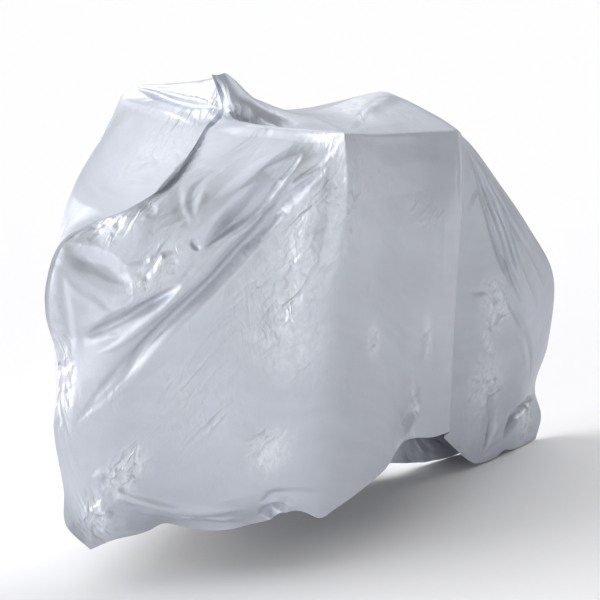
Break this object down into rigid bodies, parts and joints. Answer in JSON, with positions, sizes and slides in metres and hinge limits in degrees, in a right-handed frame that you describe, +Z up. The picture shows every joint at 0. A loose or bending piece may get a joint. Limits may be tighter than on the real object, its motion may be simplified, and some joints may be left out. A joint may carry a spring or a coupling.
{
  "type": "bicycle cover",
  "caption": "Thin silver plastic film bag draped over a bicycle: folded along the top, welded up both ends, open along its uneven hem, with loose tension folds.",
  "frame": {"origin": "just under the top film where it lies on the saddle, on the bicycle's middle plane", "axes": "+X towards the rear wheel, +Y towards the bicycle's right-hand grip, +Z up"},
  "size_m": [1.7486, 0.6815, 1.1529],
  "materials": {
    "silver_film": "thin silver-grey plastic film, soft gloss, finely crinkled"
  },
  "bodies": {
    "root": {"film_cover": "silver_film"}
  },
  "joints": []
}
